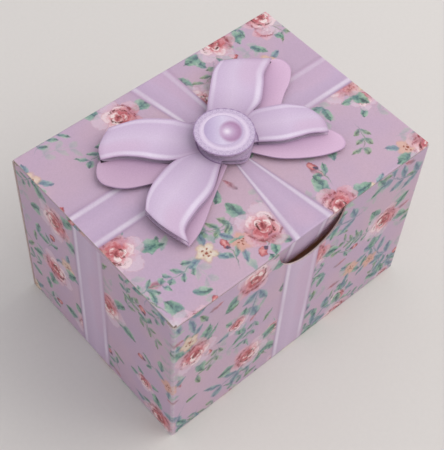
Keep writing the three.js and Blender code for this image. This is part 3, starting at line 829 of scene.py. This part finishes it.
# the bead at the front: the lid laps over the wall's top edge, and the flap drops behind it
tuck = {
    "slant": math.radians(9), "depth": 13 * mm, "cornerRadius": 6 * mm,
    "crease": (0, -halfDepth + 0.8 * mm, dustHigh.z - card["thickness"] / 2),
    # (Y, Z) from the front wall's outside and the lid's underside, in mm: over the wall, into the flap
    "over": [(0, 0), (0.12, -0.05), (0.44, -0.12)],
    "back": [(-0.05, -0.04), (-0.12, 0)],  # from the flap's inside to the lid's underside
}
tuckAxis = Vector(tuck["crease"])
downward = Vector((0, math.sin(tuck["slant"]), -math.cos(tuck["slant"])))
outward = Vector((0, -math.cos(tuck["slant"]), -math.sin(tuck["slant"])))
tuckX = tuckHigh.x
flapOuter = tuckAxis + outward * card["thickness"] / 2
flapInner = tuckAxis - outward * card["thickness"] / 2
section = [(lidFront, boxTop)]
for step in range(1, lid["seamSteps"]):
    angle = math.pi / 2 * step / lid["seamSteps"]
    section.append((lidFront - lid["seam"] * math.sin(angle),
                    lidLow.z + card["thickness"] * math.cos(angle)))
section += [(lidLow.y + y * mm, lidLow.z + z * mm) for y, z in tuck["over"]]
section += [flapOuter.yz, flapInner.yz]
section += [(flapInner.y + y * mm, lidLow.z + z * mm) for y, z in tuck["back"]]
section.append((lidFront, lidLow.z))
bm = bmesh.new()
profile = bm.faces.new([bm.verts.new((-tuckX, y, z)) for y, z in section])
grown = bmesh.ops.extrude_face_region(bm, geom=[profile])["geom"]
bmesh.ops.translate(bm, verts=[g for g in grown if isinstance(g, bmesh.types.BMVert)],
                    vec=(2 * tuckX, 0, 0))
bmesh.ops.recalc_face_normals(bm, faces=bm.faces[:])
bm.normal_update()
for face in bm.faces:
    middle = face.calc_center_median()
    printed = middle.y < lidFront and middle.z > lidLow.z - 0.2 * mm or face.normal.y < -0.3
    face.material_index = 2 if abs(face.normal.x) > 0.5 else 0 if printed else 1
layPrint(bm, lambda co, middle: (rearMiddle / mm - co.x,
                                 (2 * boxTop + halfDepth) / mm - co.y - co.z), lambda co,
         middle: (co.x, co.y + co.z - boxTop / mm))
bead = makePiece(bm, "tuckCrease", lidMaterials)
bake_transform(bead)

# the tuck flap, drawn from its crease outwards
bm = cutBlank([(-tuckX, 0), (tuckX, 0), (tuckX, tuck["depth"]), (-tuckX, tuck["depth"])],
              {tuck["cornerRadius"]: (2, 3)})
thicken(bm)
layPrint(bm, lambda co, middle: (rearMiddle / mm + co.x, (boxTop + 2 * halfDepth) / mm + co.y),
         lambda co, middle: (-co.x, -halfDepth / mm - co.y))  # the lid's front ribbon runs on over the flap
place = Matrix(((-1, 0, 0, 0), (0, downward.y, outward.y, flapOuter.y),
                (0, downward.z, outward.z, flapOuter.z), (0, 0, 0, 1)))
bmesh.ops.transform(bm, matrix=place, verts=bm.verts[:])
makePiece(bm, "tuckSheet", lidMaterials, "tuck_flap", ["tuck_flap"])

# the dust flaps, each with its crease to a side wall
dust = {
    "cornerRadius": 4 * mm,
    "slantStart": dustHigh.y - (dustHigh.x - dustLow.x),  # the rear edge slants by half a right angle
}
outline = [(-cornerX, dustLow.y), (dustHigh.x, dustLow.y), (dustHigh.x, dust["slantStart"]),
           (-cornerX, dustRear)]
seam = [(-cornerX - foldLength, dustLow.y), (-cornerX, dustLow.y), (-cornerX, outline[3][1]),
        (-cornerX - foldLength, outline[3][1])]


def dustNet(sign):
    # the flap is printed on the same sheet, above its side wall
    return lambda co, middle: (sign * (sideMiddle / mm + co.y),
                               (dustHigh.z + halfWidth) / mm - abs(co.x))


for sign, name in ((-1, "left"), (1, "right")):
    flap, node = name + "DustSheet", name + "_dust_flap"
    bm = cutBlank(outline if sign < 0 else mirrored(outline), {dust["cornerRadius"]: (1, 2)})
    thicken(bm)
    layPrint(bm, dustNet(sign), lambda co, middle: noRibbon)
    bmesh.ops.translate(bm, verts=bm.verts[:], vec=(0, 0, dustHigh.z))
    makePiece(bm, flap, cardMaterials, node, [node])
    bm = cutBlank(seam if sign < 0 else mirrored(seam))
    score(bm, 0, sign * cornerX, sign * foldLength, card["foldSteps"])
    thicken(bm)
    layPrint(bm, dustNet(sign), lambda co, middle: noRibbon)
    fold(bm.verts, 0, sign * cornerX, sign)
    bmesh.ops.translate(bm, verts=bm.verts[:], vec=(0, 0, dustHigh.z))
    crease = makePiece(bm, name + "DustCrease", cardMaterials)
    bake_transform(crease)
print("lid folded")

# the decoupage bow: ribbon bands cut as one layer, and their linings on the layer below

backLow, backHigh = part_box("bow_back_layer")
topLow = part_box("bow_front_layer")[0]
buttonLow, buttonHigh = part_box("lace_button")
knot = (buttonLow + buttonHigh) / 2
bow = {
    "unit": 59 * mm / 100,  # the bow is drawn on a grid of 100 units from tip to tip
    "overlap": 0.02 * mm,  # a lower band lies this much over an upper one
    "steps": (32, 10),
    # each band runs from under the button to its fold: outer edge, mouth edge, fold
    "bands": {
        "upperLeft": ([(-1, 9), (-6, 15), (-10, 21), (-20, 29), (-32, 33)],
                      [(-9, -1), (-21.5, 3.5), (-27.3, 8), (-32.3, 14), (-38, 19), (-44.5, 22)],
                      [(-32, 33), (-37.2, 30.4), (-42, 26.8), (-44.5, 22)]),
        "upperRight": ([(1, 9), (5, 16), (15, 25.5), (21, 30.5), (27, 33)],
                       [(9, 0), (18.5, 3.5), (25, 5.5), (32, 11.5), (37, 16.5), (45, 20.5)],
                       [(27, 33), (34, 29), (45, 20.5)]),
        "lowerLeft": ([(-9, -1), (-21.5, 3.5), (-34, 1), (-41.5, -3), (-46.5, -8)],
                      [(-1, -7), (-8, -8), (-20, -16.5), (-31, -20), (-38, -22.6), (-41.3, -25), (-43.5, -30)],
                      [(-46.5, -8), (-46.3, -17), (-43.5, -30)]),
        "lowerRight": ([(9, 0), (18.5, 3.5), (30, -1), (34, -4.5), (37, -8)],
                       [(1, -6), (8, -9), (17, -15.3), (23.5, -18), (29, -20), (35, -24)],
                       [(37, -8), (38.2, -13.5), (37.8, -19), (35, -24)]),
    },
    # each lining lies between the mouth of its loop and its own outer edge
    "linings": {
        "upperLeft": ([(-21.5, 3.5), (-27.3, 8), (-32.3, 14), (-38, 19), (-44.5, 22)],
                      [(-34, 1), (-44.3, 5.9), (-49.6, 12.0), (-50.2, 16.5), (-48.2, 20.2), (-45.4, 22.8),
                       (-42.8, 23.6)]),
        "upperRight": ([(18.5, 3.5), (25, 5.5), (32, 11.5), (37, 16.5), (45, 20.5)],
                       [(30, -1), (36.5, 3.5), (42, 6.5), (46, 9.5), (49, 13), (49.7, 17), (48, 20.5), (43.5, 21.8)]),
        "lowerLeft": ([(-8, -8), (-20, -16.5), (-31, -20), (-38, -22.6), (-41.3, -25), (-43.5, -30)],
                      [(-7, -10), (-22, -19), (-30.5, -24.5), (-37, -28), (-43.5, -30)]),
        "lowerRight": ([(8, -9), (17, -15.3), (23.5, -18), (29, -20), (35, -24)],
                       [(5, -11), (12, -20.6), (23, -28.6), (32.5, -32.4), (37, -32), (39, -28.5), (38.3, -24),
                        (36.2, -20)]),
    },
    # the part under the button: top edge, bottom edge, left end, right end
    "knot": ([(-6, 15), (0, 13), (5, 16)], [(-8, -8), (0, -13), (8, -9)], [(-6, 15), (-9, 4), (-8, -8)],
             [(5, 16), (9, 4), (8, -9)]),
}


def along(points, share):
    # the place at that share of a smooth curve through the points
    run = share * (len(points) - 1)
    first = min(int(run), len(points) - 2)
    rest = run - first
    near = [Vector(points[max(0, min(len(points) - 1, first + step))]) for step in (-1, 0, 1, 2)]
    into, out = (near[2] - near[0]) / 2, (near[3] - near[1]) / 2
    return ((2 * near[1] - 2 * near[2] + into + out) * rest ** 3
            + (3 * near[2] - 3 * near[1] - 2 * into - out) * rest ** 2 + into * rest + near[1])


def layPatch(bm, outer, mouth, start, end, bottom, slot):
    # a strip of card drawn between four edges, with a map that runs along it and across it
    layer = bm.loops.layers.uv.get("loop") or bm.loops.layers.uv.new("loop")
    made = bmesh.ops.create_grid(bm, x_segments=bow["steps"][0], y_segments=bow["steps"][1],
                                 size=0.5)
    shares = {vert: (vert.co.x + 0.5, vert.co.y + 0.5) for vert in made["verts"]}
    for vert, (u, v) in shares.items():
        corners = ((1 - u) * (1 - v) * Vector(outer[0]) + (1 - u) * v * Vector(mouth[0])
                   + u * (1 - v) * Vector(outer[-1]) + u * v * Vector(mouth[-1]))
        inside = ((1 - v) * along(outer, u) + v * along(mouth, u) + (1 - u) * along(start, v)
                  + u * along(end, v) - corners)
        vert.co = (knot.x + inside.x * bow["unit"], knot.y + inside.y * bow["unit"], bottom)
    faces = {face for vert in shares for face in vert.link_faces}
    for face in faces:
        face.material_index = slot
        for loop in face.loops:
            loop[layer].uv = shares[loop.vert]
    grown = bmesh.ops.extrude_face_region(bm, geom=list(faces))["geom"]
    top = [part for part in grown if isinstance(part, bmesh.types.BMVert)]
    bmesh.ops.translate(bm, verts=top, vec=(0, 0, backHigh.z - backLow.z))


def closeBow(bm, name, node, materials):
    bmesh.ops.remove_doubles(bm, verts=bm.verts[:], dist=1e-7)
    bmesh.ops.dissolve_degenerate(bm, edges=bm.edges[:], dist=1e-7)
    bmesh.ops.recalc_face_normals(bm, faces=bm.faces[:])
    bm.normal_update()
    for face in bm.faces:
        if face.normal.z < -0.5:
            face.material_index = len(materials) - 2
        elif face.normal.z < 0.5:
            face.material_index = len(materials) - 1
    return makePiece(bm, name, materials, "lid", [node])


def layBands(bm, bottom):
    for name, (outer, mouth, end) in bow["bands"].items():
        lift = bow["overlap"] if name.startswith("lower") else 0
        layPatch(bm, outer, mouth, [outer[0], mouth[0]], end, bottom + lift, 0)
    layPatch(bm, *bow["knot"], bottom - bow["overlap"], 0)


lace = {
    "count": 26, "edge": 7.4,  # mm
    "eyelets": [(0.5, 6.75, 0.42, 0.25, 0.6), (0.0, 6.15, 0.3, 0.16, 0.4)],  # turn, place, radii, strength
    "thread": "#a28eb2", "dishLine": "#b09ec1",
    "below": "#ece6ee",  # the lace that is printed on the bow lies in the button's shade
    "rings": [(0.0, "#c5b4cf"), (0.57, "#c5b4cf"), (0.6, "#cfbed7"), (0.66, "#dbcde1"), (0.74, "#cebdd6"),
              (0.765, "#bfadc9"), (0.785, "#cbbbd3"), (0.87, "#c5b4ce"), (0.895, "#a892b4"), (0.915, "#85698f")],
    "outer": 8,  # mm, the ramp's full reach
    "belowAt": (0.1, -1.0),  # mm, the lace printed on the bow lies a little beside the button
    "slant": math.radians(41),  # the pearl and its shine lie along this line
    "dishAt": (-0.25, 0.45), "dish": 4.45,  # mm, along and across that line
    "pearlAt": (1.45, 0.1), "pearl": (2.6, 3.1), "shineAt": (0.6, 0.1), "shineReach": 3.9,
    "dishTones": [(0.0, "#b3a2c4"), (0.22, "#c3b4d2"), (0.45, "#d2c7de"), (0.7, "#cebcd6"), (1.0, "#c1abca")],
    "pearlTones": [(0.0, "#ede2ee"), (0.12, "#dccee0"), (0.3, "#c4abc8"), (0.55, "#b28fb2"), (0.8, "#a67ea3"),
                   (1.0, "#a67fa3")],
}


def makeLace():
    # a printed lace edge round a smooth pale rim, with a pearl in a dish
    group = bpy.data.node_groups.new("lacePrint", "ShaderNodeTree")
    group.interface.new_socket("Place", in_out="INPUT", socket_type="NodeSocketVector")
    group.interface.new_socket("Colour", in_out="OUTPUT", socket_type="NodeSocketColor")
    group.interface.new_socket("Inside", in_out="OUTPUT", socket_type="NodeSocketFloat")
    place = add(group, "NodeGroupInput")
    reach = add(group, "VectorMath:LENGTH", [place])
    ink = add(group, "ValToRGB", [add(group, "Math:MULTIPLY", [reach, 1 / lace["outer"]])],
              stops=lace["rings"])
    for turn, out, big, small, strength in lace["eyelets"]:
        sector, number = around(group, place, lace["count"], turn)
        ring = add(group, "Math:SUBTRACT", [spot(group, sector, (out, 0), (big, big), 0.2)[1],
                                            spot(group, sector, (out, 0), (small, small), 0.3)[1]],
                   use_clamp=True)
        ring = add(group, "Math:MULTIPLY", [ring, strength])
        ink = add(group, "Mix:RGBA", [ring, ink, lace["thread"]])
    turned = add(group, "VectorRotate:Z_AXIS", {"Vector": place, "Angle": lace["slant"]})
    bowl = lace["dish"]
    line = spot(group, turned, lace["dishAt"], (bowl + 0.1, bowl + 0.1), 0.03)[1]
    ink = add(group, "Mix:RGBA", [line, ink, lace["dishLine"]])
    inside = spot(group, turned, lace["dishAt"], (bowl, bowl), 0.03)[1]
    # the dish grows paler towards the pearl
    slope = add(group, "SeparateXYZ", [turned])
    slope = add(group, "MapRange", [slope, -bowl, bowl])
    tone = add(group, "ValToRGB", [slope], stops=lace["dishTones"])
    ink = add(group, "Mix:RGBA", [inside, ink, tone])
    pearl = spot(group, turned, lace["pearlAt"], lace["pearl"], 0.2)[1]
    pearl = add(group, "Math:MULTIPLY", [pearl, inside])
    shine = spot(group, turned, lace["shineAt"], (lace["shineReach"], lace["shineReach"]))[0]
    sheen = add(group, "ValToRGB", [shine], stops=lace["pearlTones"])
    ink = add(group, "Mix:RGBA", [pearl, ink, sheen])
    edge = add(group, "MapRange", [reach, lace["edge"] + 0.15, lace["edge"] - 0.05])
    add(group, "NodeGroupOutput", [ink, edge])
    return group


lacePrint = makeLace()


def fromKnot(t, shift=(0, 0)):
    # the place in millimetres from the knot, or from a point beside it
    place = add(t, "TexCoord", (), "Object")
    return add(t, "Mapping", {"Vector": place, "Scale": (1 / mm, 1 / mm, 0),
                              "Location": (-knot.x / mm - shift[0], -knot.y / mm - shift[1], 0)})


def bandCard(name):
    # the bow's bands: printed satin with a strong pale line at the mouth, darker at the fold as printed shading, and
    # darker near the knot as painted shade under the button
    material, t = newMaterial(name)
    place = add(t, "SeparateXYZ", [add(t, "UVMap", uv_map="loop")]).node
    u, v = place.outputs["X"], place.outputs["Y"]
    mouthSide = add(t, "MapRange", [v, 0.35, 0.65, 0.5, 1.0])
    fade = add(t, "MapRange", [u, 0.12, 0.5, 0.35])
    gloss = add(t, "Math:MULTIPLY", [mouthSide, fade], use_clamp=True)
    run = add(t, "Math:MULTIPLY", [u, 25.0])
    ink = layRibbon(t, colour(satin["under"]), v, run, 0.0, 1.0, None, gloss, "bowBody")
    # painted shade: the bands darken towards the knot, under the button
    length = add(t, "ValToRGB", [u], stops=satin["length"])
    ink = add(t, "Mix:RGBA", [1.0, ink, length], blend_type="MULTIPLY")
    # the lace of the button is printed here too, and shows below the real one
    laceBelow = add(t, "Group", [fromKnot(t, lace["belowAt"])], node_tree=lacePrint).node
    shaded = add(t, "Mix:RGBA", [1.0, laceBelow.outputs["Colour"], lace["below"]],
                 blend_type="MULTIPLY")
    ink = add(t, "Mix:RGBA", [laceBelow.outputs["Inside"], ink, shaded])
    closeMaterial(t, cardSurface(t, ink, 0.5))
    return material


def liningCard(name):
    # the inside of each loop: mauve, darker at the mouth as painted shade under the band layer, and paler on the
    # right-hand loops as painted light from the right
    material, t = newMaterial(name)
    v = add(t, "SeparateXYZ", [add(t, "UVMap", uv_map="loop")]).node.outputs["Y"]
    # painted shade: darker at the mouth, where the band layer lies over the lining
    ink = add(t, "ValToRGB", [v], stops=satin["lining"])
    # painted light: the linings grow paler from left to right, as if lit from the right
    side = add(t, "SeparateXYZ", [fromKnot(t)])
    side = add(t, "MapRange", [side, -25, 25, 0.9, 1.08])
    ink = add(t, "VectorMath:SCALE", [ink, side])
    closeMaterial(t, cardSurface(t, ink, 0.55))
    return material


bandPrint = bandCard("printedSatinBand")
liningPrint = liningCard("printedLining")
shadedBowEdge = plainCard("cutBowEdgeShaded", "#b49cb8", 0.85)  # edge of the thin card, tinted by its ink and darkened to mauve as a painted shade along the raised layers' edges

bm = bmesh.new()
layBands(bm, topLow.z)
closeBow(bm, "bowBands", "bow_front_layer", [bandPrint, insideCard, shadedBowEdge])
bm = bmesh.new()
layBands(bm, backLow.z)
for mouth, outer in bow["linings"].values():
    layPatch(bm, mouth, outer, [mouth[0], outer[0]], [mouth[-1], outer[-1]], backLow.z, 1)
closeBow(bm, "bowLinings", "bow_back_layer", [bandPrint, liningPrint, insideCard, shadedBowEdge])

# the button: a disc with a finely scalloped lace edge, printed with a pearl in a dish

button = {"stepsEach": 8, "scallopDepth": 0.15 * mm}
laceCard, t = newMaterial("printedLaceCard")  # smooth coated card, pale and slightly glossy
closeMaterial(t, cardSurface(t, add(t, "Group", [fromKnot(t)], node_tree=lacePrint), 0.45))
bm = bmesh.new()
made = bmesh.ops.create_circle(bm, cap_ends=True, segments=lace["count"] * button["stepsEach"],
                               radius=(buttonHigh.x - buttonLow.x) / 2)
for vert in made["verts"]:
    angle = math.atan2(vert.co.y, vert.co.x)
    bulge = abs(math.sin(angle * lace["count"] / 2))
    vert.co *= 1 - (1 - bulge) * button["scallopDepth"] / vert.co.length
thicken(bm, buttonHigh.z - buttonLow.z)
bmesh.ops.translate(bm, verts=bm.verts[:], vec=(knot.x, knot.y, buttonHigh.z))
makePiece(bm, "laceButton", [laceCard, insideCard, shadedBowEdge], "lid", ["lace_button"])
for name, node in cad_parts.items():
    if "pad" in name:
        node.data.materials.clear()
        node.data.materials.append(foam)
print("bow laid")

# camera, floor and light

camera = {
    "place": (-112.43 * mm, -113.74 * mm, 244.76 * mm),
    "right": (0.75069, -0.65906, 0.04578),
    "up": (0.51530, 0.62749, 0.58372),
    "back": (-0.41343, -0.41460, 0.81067),
    "lens": 84.63,  # mm, on a 36 mm long side
}
view = bpy.data.objects.new("camera", bpy.data.cameras.new("camera"))
bpy.context.scene.collection.objects.link(view)
view.data.lens = camera["lens"]
view.data.clip_start = 10 * mm
turnRows = Matrix((camera["right"], camera["up"], camera["back"])).transposed().to_4x4()
view.matrix_world = Matrix.Translation(camera["place"]) @ turnRows
bpy.context.scene.camera = view

light = {
    "floor": "#d3d1cc", "floorSize": 1.5,  # m
    "sky": "#fbf9ff", "skyStrength": 0.76,
    "windowPlace": (0.61, -0.34, 0.7), "windowSize": 1.0, "windowPower": 6.1, "window": "#fffaf4",
}
bm = bmesh.new()
bmesh.ops.create_grid(bm, x_segments=1, y_segments=1, size=light["floorSize"])
mesh = bpy.data.meshes.new("floor")
bm.to_mesh(mesh)
bm.free()
floor = bpy.data.objects.new("floor", mesh)
bpy.context.scene.collection.objects.link(floor)
mesh.materials.append(plainCard("floorPaper", light["floor"], 0.9, 0.0, 0.015))  # plain matt paper
floor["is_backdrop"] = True

world = bpy.data.worlds.new("studio")
bpy.context.scene.world = world
world.use_nodes = True
world.node_tree.nodes.clear()
sky = add(world.node_tree, "Background", {"Color": light["sky"], "Strength": light["skyStrength"]})
add(world.node_tree, "OutputWorld", {"Surface": sky})

window = bpy.data.lights.new("window", "AREA")
window.size, window.energy, window.color = light["windowSize"], light["windowPower"], colour(light["window"])[:3]
holder = bpy.data.objects.new("window", window)
bpy.context.scene.collection.objects.link(holder)
holder.location = light["windowPlace"]
holder.rotation_euler = (-Vector(light["windowPlace"])).to_track_quat("-Z", "Y").to_euler()
bpy.context.scene.view_settings.view_transform = "Standard"

low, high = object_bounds()
